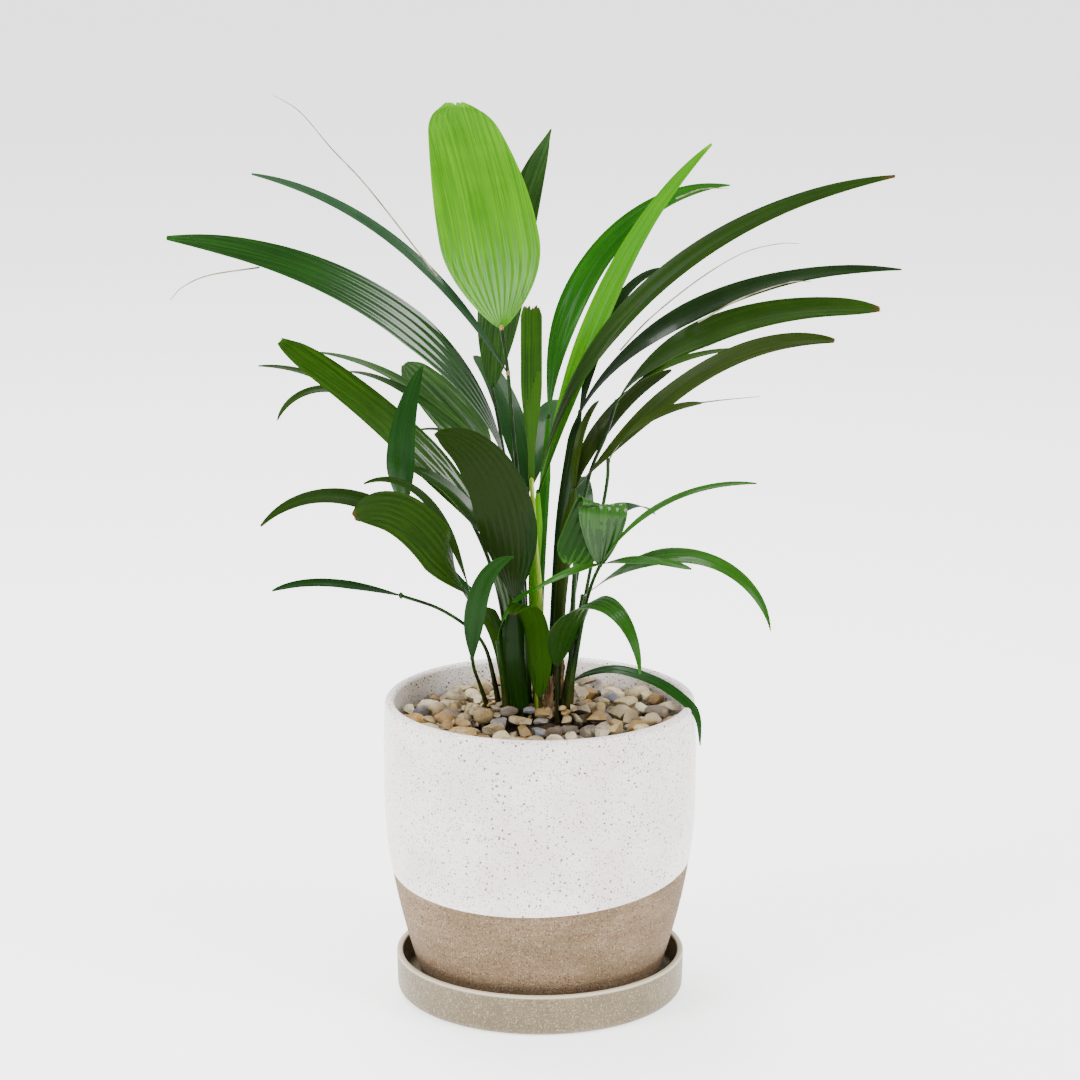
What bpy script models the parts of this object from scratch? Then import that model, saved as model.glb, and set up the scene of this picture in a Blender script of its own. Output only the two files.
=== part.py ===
"""A lady palm in a glazed stoneware pot on a saucer: every piece as its own closed solid.

Metres, +Z up. The origin is the middle of the saucer's underside, on the pot's axis, and -Y is
the front. Every leaf is one grown piece: its stalk, the knob at the stalk's end and its blades.
"""

from math import cos, pi, radians, sin, sqrt

import bmesh
import bpy
from mathutils import Vector, noise

MM = 0.001
GAP = 0.3 * MM  # left between pieces that touch

# Saucer
SAUCER_HEIGHT = 20.3 * MM
SAUCER_FLOOR = 6.2 * MM
SAUCER_WALL = 3.0 * MM
SAUCER_FOOT_ROUND = 4.5 * MM
SAUCER_LIP_ROUND = 0.8 * MM
TROUGH = 5.1 * MM  # between the pot and the saucer's lip
SAUCER_SPLAY = 0.4 * MM  # how much further out the lip is than the foot of the wall

# Pot
POT_HEIGHT = 140.1 * MM
POT_BASE_R = 56.5 * MM
POT_BELLY_R = 75.0 * MM
POT_BELLY_Z = 95.0 * MM  # above the pot's base
POT_SHOULDER_Z = 118.0 * MM  # where it starts to draw in towards the rim
POT_RIM_R = 74.2 * MM
POT_WALL = 4.6 * MM
POT_FLOOR = 7.0 * MM
POT_BULGE = 0.87  # below 1 fills the curve between base and belly out
DRAIN_R = 6.0 * MM
TURNED_STEPS = 40

# What fills the pot
HEADSPACE = 9.6 * MM  # rim to the mean top of the gravel
GRAVEL_DEPTH = 12.0 * MM
PEBBLE_RELIEF = 3.0 * MM
PEBBLE_PITCH = 12.0 * MM
CROWN_R = 24.0 * MM
CROWN_FLATNESS = 0.66  # front-to-back size over width
CROWN_MIDDLE = Vector((-5, 3, 0)) * MM
CROWN_BELOW = 1.0 * MM  # its top, under the gravel's
CROWN_DEPTH = 26.0 * MM
CROWN_EDGE_ROUND = 2.0 * MM

# Stems and leaves
CANE_R = 2.4 * MM
STALK_FOOT_R = 1.15 * MM
STALK_TIP_R = 0.8 * MM
STALK_SIDES = 6
STALK_STEPS = 2  # rings between one chosen point and the next
KNOB_R = 1.9 * MM
BLADE_THICKNESS = 0.6 * MM
BLADE_ROOT_WIDTH = 1.8 * MM
BLADE_SET_OUT = 0.5 * MM  # a blade starts this far out of its knob's middle
BLADE_STEPS = 8
PLEAT_SLOPE = 0.42
RIM_CLEARANCE = 1.6 * MM  # under the leaf that hangs over the rim

# Heights that follow from the sizes above
POT_Z = SAUCER_FLOOR + GAP
RIM_Z = POT_Z + POT_HEIGHT
GRAVEL_Z = RIM_Z - HEADSPACE
SOIL_Z = GRAVEL_Z - GRAVEL_DEPTH - GAP
CROWN_Z = GRAVEL_Z - CROWN_BELOW


def clear_scene():
    for item in list(bpy.data.objects):
        bpy.data.objects.remove(item, do_unlink=True)


def material(name, colour, roughness, metallic=0.0):
    made = bpy.data.materials.new(name)
    made.use_nodes = True
    shader = made.node_tree.nodes["Principled BSDF"]
    shader.inputs["Base Color"].default_value = (*colour, 1.0)
    shader.inputs["Roughness"].default_value = roughness
    shader.inputs["Metallic"].default_value = metallic
    return made


def add_object(name, form, stuff=None):
    """Puts a bmesh in the scene, with its faces out and its round sides shaded smooth."""
    if form.calc_volume(signed=True) < 0:
        bmesh.ops.reverse_faces(form, faces=form.faces)
    mesh = bpy.data.meshes.new(name)
    form.to_mesh(mesh)
    form.free()
    mesh.shade_smooth()
    mesh.set_sharp_from_angle(angle=radians(35))
    if stuff:
        mesh.materials.append(stuff)
    item = bpy.data.objects.new(name, mesh)
    bpy.context.scene.collection.objects.link(item)
    return item


def combine(base, other, operation, solver="EXACT"):
    """A Boolean of base with a helper that the render leaves out."""
    other.hide_render = True
    other.display_type = "WIRE"
    step = base.modifiers.new(operation.title(), "BOOLEAN")
    step.operation = operation
    step.solver = solver
    step.object = other


# Turned pieces: saucer, pot, soil

def turned(name, profile, stuff):
    """Spins a closed outline of (radius, height) points around Z. Points on the axis become one."""
    form = bmesh.new()
    points = [form.verts.new((r, 0, z)) for r, z in profile]
    edges = [form.edges.new(pair) for pair in zip(points, points[1:] + points[:1])
             if pair[0].co.x > 0 or pair[1].co.x > 0]
    bmesh.ops.spin(form, geom=points + edges, cent=(0, 0, 0), axis=(0, 0, 1),
                   angle=2 * pi, steps=TURNED_STEPS, use_merge=True)
    bmesh.ops.remove_doubles(form, verts=form.verts, dist=1e-6)
    bmesh.ops.recalc_face_normals(form, faces=form.faces)
    return add_object(name, form, stuff)


def arc(middle, radius, start, end, steps):
    """Points of (radius, height) along a round corner, from one angle in degrees to another."""
    turn = [radians(start + (end - start) * i / steps) for i in range(steps + 1)]
    return [(middle[0] + radius * cos(a), middle[1] + radius * sin(a)) for a in turn]


def pot_outer_r(height):
    """The pot's outer radius at a height above its base."""
    if height < POT_BELLY_Z:
        return POT_BASE_R + (POT_BELLY_R - POT_BASE_R) * sin(pi / 2 * height / POT_BELLY_Z) ** POT_BULGE
    if height < POT_SHOULDER_Z:
        return POT_BELLY_R
    share = (height - POT_SHOULDER_Z) / (POT_HEIGHT - POT_SHOULDER_Z)
    return POT_BELLY_R - (POT_BELLY_R - POT_RIM_R) * share ** 2


def pot_inner_r(height):
    return pot_outer_r(height) - POT_WALL


def saucer_lip_r():
    """Inner radius of the saucer's wall at its lip, where the pot's side passes it."""
    return pot_outer_r(SAUCER_HEIGHT - POT_Z) + TROUGH


def make_saucer(stuff):
    inner = saucer_lip_r()
    outer = inner + SAUCER_WALL
    round_r = SAUCER_FOOT_ROUND
    lip = SAUCER_LIP_ROUND
    profile = [(0, 0)]
    profile += arc((outer - SAUCER_SPLAY - round_r, round_r), round_r, -90, 0, 4)
    profile += arc((outer - lip, SAUCER_HEIGHT - lip), lip, 0, 90, 2)
    profile += arc((inner + lip, SAUCER_HEIGHT - lip), lip, 90, 180, 2)
    profile += arc((inner - SAUCER_SPLAY - 1.5 * MM, SAUCER_FLOOR + 1.5 * MM), 1.5 * MM, 0, -90, 2)
    profile += [(0, SAUCER_FLOOR)]
    return turned("saucer", profile, stuff)


def make_pot(stuff):
    lip = POT_WALL / 2
    top = POT_HEIGHT - lip
    outside = [0.0, 0.03, 0.08, 0.16, 0.27, 0.4, 0.55, 0.72, 0.86, 0.94]
    profile = [(DRAIN_R, 0), (POT_BASE_R - 1.5 * MM, 0)]
    profile += [(pot_outer_r(share * top), share * top) for share in outside[1:]]
    profile += arc((pot_outer_r(top) - lip, top), lip, 0, 180, 6)
    profile += [(pot_inner_r(share * top), share * top) for share in reversed(outside[3:])]
    profile += [(pot_inner_r(POT_FLOOR), POT_FLOOR), (DRAIN_R, POT_FLOOR)]
    return turned("pot", [(r, POT_Z + z) for r, z in profile], stuff)


def make_soil(stuff):
    top = SOIL_Z - POT_Z
    bottom = POT_FLOOR + GAP
    levels = [bottom + (top - bottom) * i / 6 for i in range(7)]
    profile = [(0, bottom)]
    profile += [(pot_inner_r(z) - 2 * GAP, z) for z in levels]
    profile += [(0, top)]
    return turned("soil", [(r, POT_Z + z) for r, z in profile], stuff)


# Gravel, root crown and canes

def oval(radius, height, steps=24):
    """A ring of points around the crown's middle, as wide as the crown is and as flat."""
    turn = [2 * pi * i / steps for i in range(steps)]
    return [CROWN_MIDDLE + Vector((radius * cos(a), CROWN_FLATNESS * radius * sin(a), height)) for a in turn]


def skin(rings, sheet=False):
    """A closed skin over rings of points, all with as many points, capped at both ends.

    Each ring of a thin sheet runs along its top and back along its underside. Both are split into
    triangles along the same diagonals, so that they can't pass through each other where it twists.
    """
    form = bmesh.new()
    made = [[form.verts.new(point) for point in ring] for ring in rings]
    for one, two in zip(made, made[1:]):
        for i in range(len(one)):
            j = (i + 1) % len(one)
            if not sheet:
                form.faces.new((one[i], one[j], two[j], two[i]))
            elif i < len(one) // 2:
                form.faces.new((one[i], one[j], two[j]))
                form.faces.new((one[i], two[j], two[i]))
            else:
                form.faces.new((one[i], one[j], two[i]))
                form.faces.new((one[j], two[j], two[i]))
    form.faces.new(reversed(made[0]))
    form.faces.new(made[-1])
    return form


def pebble_height(x, y):
    """A bumpy top: each bump is a dome around its own middle."""
    near = noise.voronoi(Vector((x, y, 0)) / PEBBLE_PITCH)[0][0]
    return PEBBLE_RELIEF * (0.5 - min(near, 1.0))


def make_gravel(stuff):
    """A ring of pebbles as one bumpy solid, open in the middle where the plant comes through."""
    bottom = GRAVEL_Z - GRAVEL_DEPTH
    top = GRAVEL_Z + PEBBLE_RELIEF / 2
    outer = min(pot_inner_r(bottom - POT_Z), pot_inner_r(top - POT_Z)) - 2 * GAP
    inner = [point.xy for point in oval(CROWN_R + 2 * GAP, 0, TURNED_STEPS)]
    form = bmesh.new()
    rows = []
    for share in (0.0, 0.15, 0.32, 0.5, 0.66, 0.82, 0.94, 1.0):
        row = []
        for i, start in enumerate(inner):
            a = 2 * pi * i / TURNED_STEPS
            spot = start.lerp(Vector((cos(a), sin(a))) * outer, share)
            edge = min(share, 1 - share) < 0.01
            row.append((spot.x, spot.y, GRAVEL_Z + (0 if edge else pebble_height(*spot))))
        rows.append(row)
    rows.append([(x, y, bottom) for x, y, _ in rows[-1]])
    rows.append([(x, y, bottom) for x, y, _ in rows[0]])
    made = [[form.verts.new(point) for point in row] for row in rows]
    for one, two in zip(made, made[1:] + made[:1]):
        for i in range(TURNED_STEPS):
            j = (i + 1) % TURNED_STEPS
            form.faces.new((one[i], one[j], two[j], two[i]))
    return add_object("gravel", form, stuff)


def crown_rings(grow):
    """The woody base that every stem rises from, grown all over by a clearance for its pocket."""
    low = CROWN_Z - CROWN_DEPTH - grow
    top = CROWN_Z + grow
    edge = CROWN_EDGE_ROUND
    return [oval(0.7 * CROWN_R + grow, low), oval(0.92 * CROWN_R + grow, low + 4 * MM),
            oval(CROWN_R + grow, low + 12 * MM), oval(CROWN_R + grow, top - edge),
            oval(CROWN_R - 0.3 * edge + grow, top - 0.3 * edge), oval(CROWN_R - edge + grow, top)]


def make_crown(stuff, soil):
    crown = add_object("root_crown", skin(crown_rings(0)), stuff)
    pocket = add_object("crown_pocket", skin(crown_rings(GAP) + [oval(CROWN_R, SOIL_Z + 40 * MM)]))
    combine(soil, pocket, "DIFFERENCE")
    return crown


# Leaves. A chosen point is (across, back, up) in millimetres, up from the gravel's top.

def place(point):
    return Vector((point[0] * MM, point[1] * MM, GRAVEL_Z + point[2] * MM))


def smooth_path(points, steps):
    """A soft curve through chosen points, with a number of steps from each to the next."""
    path = []
    ends = [2 * points[0] - points[1]] + points + [2 * points[-1] - points[-2]]
    for a, b, c, d in zip(ends, ends[1:], ends[2:], ends[3:]):
        for i in range(steps):
            t = i / steps
            path.append(0.5 * (2 * b + (c - a) * t + (2 * a - 5 * b + 4 * c - d) * t ** 2
                               + (3 * b - a - 3 * c + d) * t ** 3))
    return path + [points[-1]]


def arching_path(start, facing, length, launch, land, bend):
    """Runs out from start in one upright plane while its slope goes from launch to land, in degrees."""
    ahead = Vector((cos(radians(facing)), sin(radians(facing)), 0))
    spot = start + ahead * BLADE_SET_OUT
    path = [spot.copy()]
    fine = 8
    for i in range(BLADE_STEPS * fine):
        share = (i + 0.5) / (BLADE_STEPS * fine)
        slope = radians(launch + (land - launch) * share ** bend)
        spot = spot + (ahead * cos(slope) + Vector((0, 0, sin(slope)))) * length / (BLADE_STEPS * fine)
        if (i + 1) % fine == 0:
            path.append(spot.copy())
    return path


def tangents(path):
    ends = [path[0]] + path + [path[-1]]
    return [(after - before).normalized() for before, after in zip(ends, ends[2:])]


def stalk(points, foot_r=STALK_FOOT_R, tip_r=STALK_TIP_R, sides=STALK_SIDES):
    """A tapering round stem through chosen points, its foot cut level."""
    path = smooth_path(points, STALK_STEPS)
    rings = []
    for i, (spot, ahead) in enumerate(zip(path, tangents(path))):
        if i == 0:
            ahead = Vector((0, 0, 1))
        across = Vector((0, 1, 0)).cross(ahead).normalized()
        back = ahead.cross(across)
        radius = foot_r + (tip_r - foot_r) * i / (len(path) - 1)
        turn = [2 * pi * k / sides for k in range(sides)]
        rings.append([spot + radius * (across * cos(a) + back * sin(a)) for a in turn])
    return skin(rings)


def blade_width(share, width, tip):
    """Widens fast from its root, keeps its width, then narrows to tip times that width."""
    if share < 0.35:
        grown = sin(pi / 2 * share / 0.35) ** 0.8
        return BLADE_ROOT_WIDTH + (width - BLADE_ROOT_WIDTH) * grown
    end = sqrt(1 - max(0, (share - 0.85) / 0.16) ** 2)
    return end * width * (1 - (1 - tip) * ((share - 0.35) / 0.65) ** 1.8)


def blade(path, width, roll, tip, ribs=1):
    """A thin pleated strip along a path, turned by roll degrees about its own length."""
    half = ribs
    across = [i / half for i in range(-half, half + 1)]
    rings = []
    steps = len(path) - 1
    level = Vector((0, 0, 1)).cross(path[-1] - path[0])
    level = level.normalized() if level.length > 1e-6 else Vector((-1, 0, 0))
    for i, (spot, ahead) in enumerate(zip(path, tangents(path))):
        side = (level - ahead * level.dot(ahead)).normalized()
        face = ahead.cross(side)
        turn = radians(roll) * min(1, 2.5 * i / steps)
        side, face = side * cos(turn) + face * sin(turn), face * cos(turn) - side * sin(turn)
        wide = blade_width(i / steps, width, tip) / 2
        pleat = PLEAT_SLOPE * wide / half
        over, under = [], []
        for k, u in enumerate(across):
            lift = pleat if (k - half) % 2 else 0
            if half == 1:
                lift = pleat * abs(u)
            thick = BLADE_THICKNESS * (0.5 if abs(u) < 1 else 0.3)
            middle = spot + side * (u * wide) + face * lift
            over.append(middle + face * thick)
            under.append(middle - face * thick)
        rings.append(over + under[::-1])
    return skin(rings, sheet=True)


def add_knob(leaf, spot):
    """The swelling that blades spring from. EXACT loses some of the thin blades that meet in one."""
    form = bmesh.new()
    bmesh.ops.create_icosphere(form, subdivisions=1, radius=KNOB_R)
    bmesh.ops.translate(form, verts=form.verts, vec=spot)
    combine(leaf, add_object(leaf.name + "_knob", form), "UNION", "MANIFOLD")


def add_blade(leaf, form):
    combine(leaf, add_object(leaf.name + "_blade", form), "UNION", "MANIFOLD")


def make_leaf(name, stems, blades, stuff):
    """One leaf: a stalk through stems, and blades that start from a point of the stalk.

    A blade is (stalk point, facing, length, launch, land, bend, width, roll, tip, ribs).
    """
    foot = Vector((stems[0][0] * MM, stems[0][1] * MM, CROWN_Z + GAP))
    points = [foot] + [place(point) for point in stems[1:]]
    leaf = add_object(name, stalk(points), stuff)
    for at in sorted({row[0] for row in blades}):
        add_knob(leaf, points[at])
    for at, facing, length, launch, land, bend, width, roll, tip, ribs in blades:
        path = arching_path(points[at], facing, length * MM, launch, land, bend)
        add_blade(leaf, blade(path, width * MM, roll, tip, ribs))
    return leaf


def make_draping_leaf(stuff):
    """The leaf that hangs over the rim. It keeps clear of the rim, wherever that is."""
    foot = Vector((9 * MM, 5 * MM, CROWN_Z + GAP))
    hub = place((12, 8, 11))
    facing = radians(-23)
    ahead = Vector((cos(facing), sin(facing), 0))
    flat = hub.xy.to_3d()
    along = flat.dot(ahead)
    reach = sqrt(max(POT_BELLY_R, POT_RIM_R) ** 2 - flat.length_squared + along ** 2) - along
    over_rim = RIM_Z - hub.z + RIM_CLEARANCE
    shape = [(0, 0), (0.14 * reach, 8 * MM), (0.4 * reach, 13 * MM), (0.72 * reach, 9 * MM),
             (reach - 3 * MM, over_rim), (reach + 2.2 * MM, over_rim - 7 * MM),
             (reach + 3.5 * MM, over_rim - 20 * MM)]
    path = smooth_path([hub + ahead * out + Vector((0, 0, up)) for out, up in shape], 2)
    leaf = add_object("leaf_over_rim", stalk([foot, (foot + hub) / 2, hub]), stuff)
    add_knob(leaf, hub)
    add_blade(leaf, blade(path, 5.5 * MM, 25, 0.3))
    return leaf


LEAVES = {
    "leaf_top": (
        [(-5, 6), (-9, 3, 96), (-13, 0, 143), (-15, -2, 168), (-18, 0, 189)],
        [(-1, 111, 119, 74, 40, 1.0, 50, 0, 0.55, 8), (-2, 172, 156, 58, 10, 1.3, 6, -50, 0.4, 1)]),
    "leaf_top_back": (
        [(-8, 13), (-15, 20, 102), (-19, 24, 134), (-23, 28, 155)],
        [(-1, 59, 132, 84, 46, 1.0, 25, 0, 0.1, 3)]),
    "leaf_spear": (
        [(-1, -3.5), (0, -8, 60), (-2, -9, 87), (-4, -10, 118)],
        [(-1, 90, 84, 92, 88, 1.0, 10, 0, 0.7, 1)]),
    "leaf_crest": (
        [(0, 10), (0, 14, 54), (2, 14, 104), (4, 14, 143)],
        [(-1, 25, 160, 88, -5, 1.3, 13, 50, 0.12, 1)]),
    "leaf_reach_right": (
        [(-1, 5), (-3, 2, 57), (-2, 3, 86), (-1, 4, 109)],
        [(-1, 15, 186, 73, 40, 2.2, 13, 50, 0.3, 1), (-1, -12, 243, 85, 10, 0.8, 15, 50, 0.3, 1)]),
    "leaf_dark_right": (
        [(4, 14), (8, 18, 73), (11, 20, 102), (16, 21, 131), (19, 22, 144)],
        [(-1, 12, 179, 67, -5, 0.6, 11, 45, 0.15, 1), (-1, 35, 88, 76, 0, 2.2, 6, 45, 0.3, 1)]),
    "leaf_olive_right": (
        [(14, 11), (17, 9, 75), (23, 10, 114), (31, 11, 135), (36, 12, 151)],
        [(-1, -5, 138, 64, -5, 0.6, 14, 55, 0.5, 1), (-1, -20, 70, 52, 5, 0.8, 4, 40, 0.3, 1)]),
    "leaf_middle_right": (
        [(7, 2), (10, 3, 57), (13, 4, 86), (16, 5, 110)],
        [(-1, -15, 152, 49, -5, 2.2, 11, 55, 0.5, 1), (-1, 44, 86, 82, 10, 0.6, 8, 50, 0.3, 1),
         (-1, 65, 52, 97, 10, 1.0, 4, 30, 0.3, 1)]),
    "leaf_slim_right": (
        [(14, -2), (17, -3, 34), (23, -5, 69), (31, -7, 113), (32, -8, 127)],
        [(-1, -30, 61, 64, 10, 0.8, 6, 40, 0.4, 1)]),
    "leaf_folded": (
        [(12, -5.5), (20, -12, 50), (24, -25, 71), (28, -36, 84)],
        [(-1, 122, 60, 96, -85, 1.0, 20, 0, 0.5, 2), (-1, -15, 89, 61, 0, 1.0, 4, 40, 0.3, 1),
         (-1, -40, 54, 22, -5, 0.8, 5, 30, 0.4, 1), (-1, 215, 37, 7, -20, 0.6, 4, -30, 0.3, 1)]),
    "leaf_grey": (
        [(10, -1), (15, -4, 34), (20, -8, 61)],
        [(-1, -25, 117, 40, -80, 1.7, 9, 40, 0.15, 1)]),
    "leaf_hooked": (
        [(8, -9), (8, -10, 10), (8, -10, 28)],
        [(-1, -58, 105, 75, -85, 1.4, 13, 25, 0.35, 2)]),
    "leaf_short": (
        [(-1, -9), (0, -9, 6), (0, -9, 12)],
        [(-1, 243, 68, 88, -40, 3.0, 12, 0, 0.4, 2)]),
    "leaf_front_left": (
        [(-24, 4), (-28, -8, 16), (-31, -18, 28), (-32, -25, 36)],
        [(-1, -46, 66, 90, 15, 1.7, 8, -50, 0.2, 1)]),
    "leaf_low_left": (
        [(-19, 5), (-22, 3, 17), (-26, 2, 33), (-33, 0, 43), (-48, -3, 54), (-66, -5, 61)],
        [(-1, 190, 62, 16, -20, 2.2, 5, -40, 0.4, 1)]),
    "leaf_strap": (
        [(-13, -4), (-18, -8, 35), (-24, -12, 53), (-31, -14, 59)],
        [(-1, 205, 134, 55, -45, 2.2, 9, -70, 0.25, 1), (-1, 222, 97, 55, -20, 3.0, 26, -78, 0.4, 3),
         (-1, 192, 90, 73, -25, 3.0, 5, -60, 0.3, 1)]),
    "leaf_upright_left": (
        [(-14, 2), (-24, -2, 48), (-40, -6, 71), (-55, -9, 85), (-62, -10, 95)],
        [(-1, 0, 80, 105, 65, 1.0, 13, 75, 0.15, 1)]),
    "leaf_broad_left": (
        [(-10, -2), (-13, -2, 48), (-17, -2, 68), (-20, -2, 82)],
        [(-1, 168, 145, 64, 30, 0.6, 17, -55, 0.6, 2), (-1, 184, 60, 58, 15, 2.2, 9, -50, 0.3, 1)]),
    "leaf_long_left": (
        [(-7, 2), (-10, 2, 57), (-13, 2, 91), (-16, 2, 120)],
        [(-1, 185, 207, 88, 5, 0.6, 23, -55, 0.2, 2)]),
    "leaf_back_left": (
        [(-12, 11), (-14, 16, 53), (-19, 21, 92), (-24, 25, 123)],
        [(-1, 125, 81, 28, 20, 0.8, 21, -40, 0.5, 2), (-1, 150, 107, 40, 0, 1.3, 5, -30, 0.3, 1),
         (-1, 165, 80, 37, 0, 3.0, 5, -30, 0.3, 1)]),
    "leaf_broad_front": (
        [(-8, -8), (-12, -12, 30), (-12, -12, 61)],
        [(-1, 223, 108, 88, 15, 1.7, 28, 50, 0.35, 3)]),
    "leaf_curled": (
        [(-16, -7), (-20, -16, 41)],
        [(-1, -20, 38, 88, 20, 1.0, 3.5, 40, 0.3, 1)]),
    "leaf_forked_left": (
        [(-14, 8), (-19, 12, 54), (-33, 18, 92), (-52, 24, 118), (-67, 27, 129)],
        [(-1, 160, 83, 52, -5, 1.0, 4, -40, 0.3, 1), (-1, 190, 75, 58, -70, 1.7, 5, -40, 0.4, 1)]),
    "leaf_back": (
        [(-2, 16), (-4, 26, 58), (-6, 34, 103)],
        [(-1, 75, 95, 55, -20, 1.0, 15, 0, 0.3, 1), (-1, 108, 105, 60, 0, 1.0, 14, 0, 0.3, 1),
         (-1, 145, 80, 50, -20, 1.0, 10, 0, 0.3, 1)]),
    "leaf_back_low": (
        [(3, 17), (14, 27, 40), (20, 34, 73)],
        [(-1, 92, 85, 55, -30, 1.0, 14, 0, 0.3, 1), (-1, 55, 70, 45, -35, 1.0, 10, 10, 0.3, 1)]),
}

CANES = {"cane_front": (4, -5, 21), "cane_left": (-11, 5, 26), "cane_back": (9, 12, 24)}


def make_canes(stuff):
    """Short fibre-wrapped stems, which lean out a little as they rise."""
    for name, (x, y, top) in CANES.items():
        foot = Vector((x * MM, y * MM, CROWN_Z + GAP))
        points = [foot, place((x * 1.03, y * 1.03, top / 2)), place((x * 1.08, y * 1.08, top))]
        add_object(name, stalk(points, CANE_R, 0.75 * CANE_R, 8), stuff)


def main():
    clear_scene()
    glaze = material("stoneware_glaze", (0.83, 0.81, 0.78), 0.28)
    saucer_glaze = material("saucer_glaze", (0.54, 0.46, 0.33), 0.45)
    earth = material("soil", (0.06, 0.04, 0.03), 0.95)
    stones = material("gravel", (0.62, 0.53, 0.41), 0.7)
    bark = material("root_bark", (0.16, 0.10, 0.05), 0.9)
    fibre = material("cane_fibre", (0.20, 0.12, 0.06), 0.9)
    green = material("leaf", (0.10, 0.24, 0.05), 0.4)
    make_saucer(saucer_glaze)
    make_pot(glaze)
    soil = make_soil(earth)
    make_gravel(stones)
    make_crown(bark, soil)
    make_canes(fibre)
    for name, (stems, blades) in LEAVES.items():
        make_leaf(name, stems, blades, green)
    make_draping_leaf(green)


main()
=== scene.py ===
"""A lady palm in a two-tone stoneware pot on its saucer. Metres, +Z up, and the front faces -Y."""

from math import cos, pi, radians, sin, sqrt
from random import Random

import bmesh
import bpy
import numpy as np
from mathutils import Matrix, Vector


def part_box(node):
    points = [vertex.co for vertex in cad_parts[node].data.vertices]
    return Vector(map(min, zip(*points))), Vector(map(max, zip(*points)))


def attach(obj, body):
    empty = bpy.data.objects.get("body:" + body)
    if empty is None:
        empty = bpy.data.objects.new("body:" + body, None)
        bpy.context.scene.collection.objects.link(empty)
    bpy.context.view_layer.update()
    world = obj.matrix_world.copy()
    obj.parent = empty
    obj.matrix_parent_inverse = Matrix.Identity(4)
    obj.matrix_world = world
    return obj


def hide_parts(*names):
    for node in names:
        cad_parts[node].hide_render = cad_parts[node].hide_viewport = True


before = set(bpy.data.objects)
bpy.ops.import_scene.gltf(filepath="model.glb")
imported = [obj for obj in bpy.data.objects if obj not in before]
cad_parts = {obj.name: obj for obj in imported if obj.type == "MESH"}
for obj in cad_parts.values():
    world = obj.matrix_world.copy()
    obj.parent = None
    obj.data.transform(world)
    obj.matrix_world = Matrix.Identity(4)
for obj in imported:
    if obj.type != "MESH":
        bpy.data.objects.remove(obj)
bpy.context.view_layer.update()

# Saucer
# A shallow dish of cast stoneware with an upright wall and a rounded foot. It is dipped all over in a
# satin sand glaze that breaks to a paler line on the lip, and it stands on the table by its flat base.

MM = 0.001
SAUCER_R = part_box("saucer")[1].x
SAUCER_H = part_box("saucer")[1].z
CLEARANCE = 0.3 * MM  # between pieces that stand in or on each other
SAUCER_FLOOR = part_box("pot")[0].z - CLEARANCE
SAUCER_WALL = 3.0 * MM


def paint(code):
    """A colour code of six hex digits as linear red, green, blue and alpha."""
    parts = [int(code[i:i + 2], 16) / 255 for i in (1, 3, 5)]
    return (*[p / 12.92 if p <= 0.04045 else ((p + 0.055) / 1.055) ** 2.4 for p in parts], 1.0)


class Signal:
    """A value that runs through a material. Arithmetic on it adds Math nodes."""

    def __init__(self, finish, socket):
        self.finish = finish
        self.socket = socket

    def __add__(self, other):
        return self.finish.math("ADD", self, other)

    def __sub__(self, other):
        return self.finish.math("SUBTRACT", self, other)

    def __rsub__(self, other):
        return self.finish.math("SUBTRACT", other, self)

    def __mul__(self, other):
        return self.finish.math("MULTIPLY", self, other)

    __radd__ = __add__
    __rmul__ = __mul__


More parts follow.
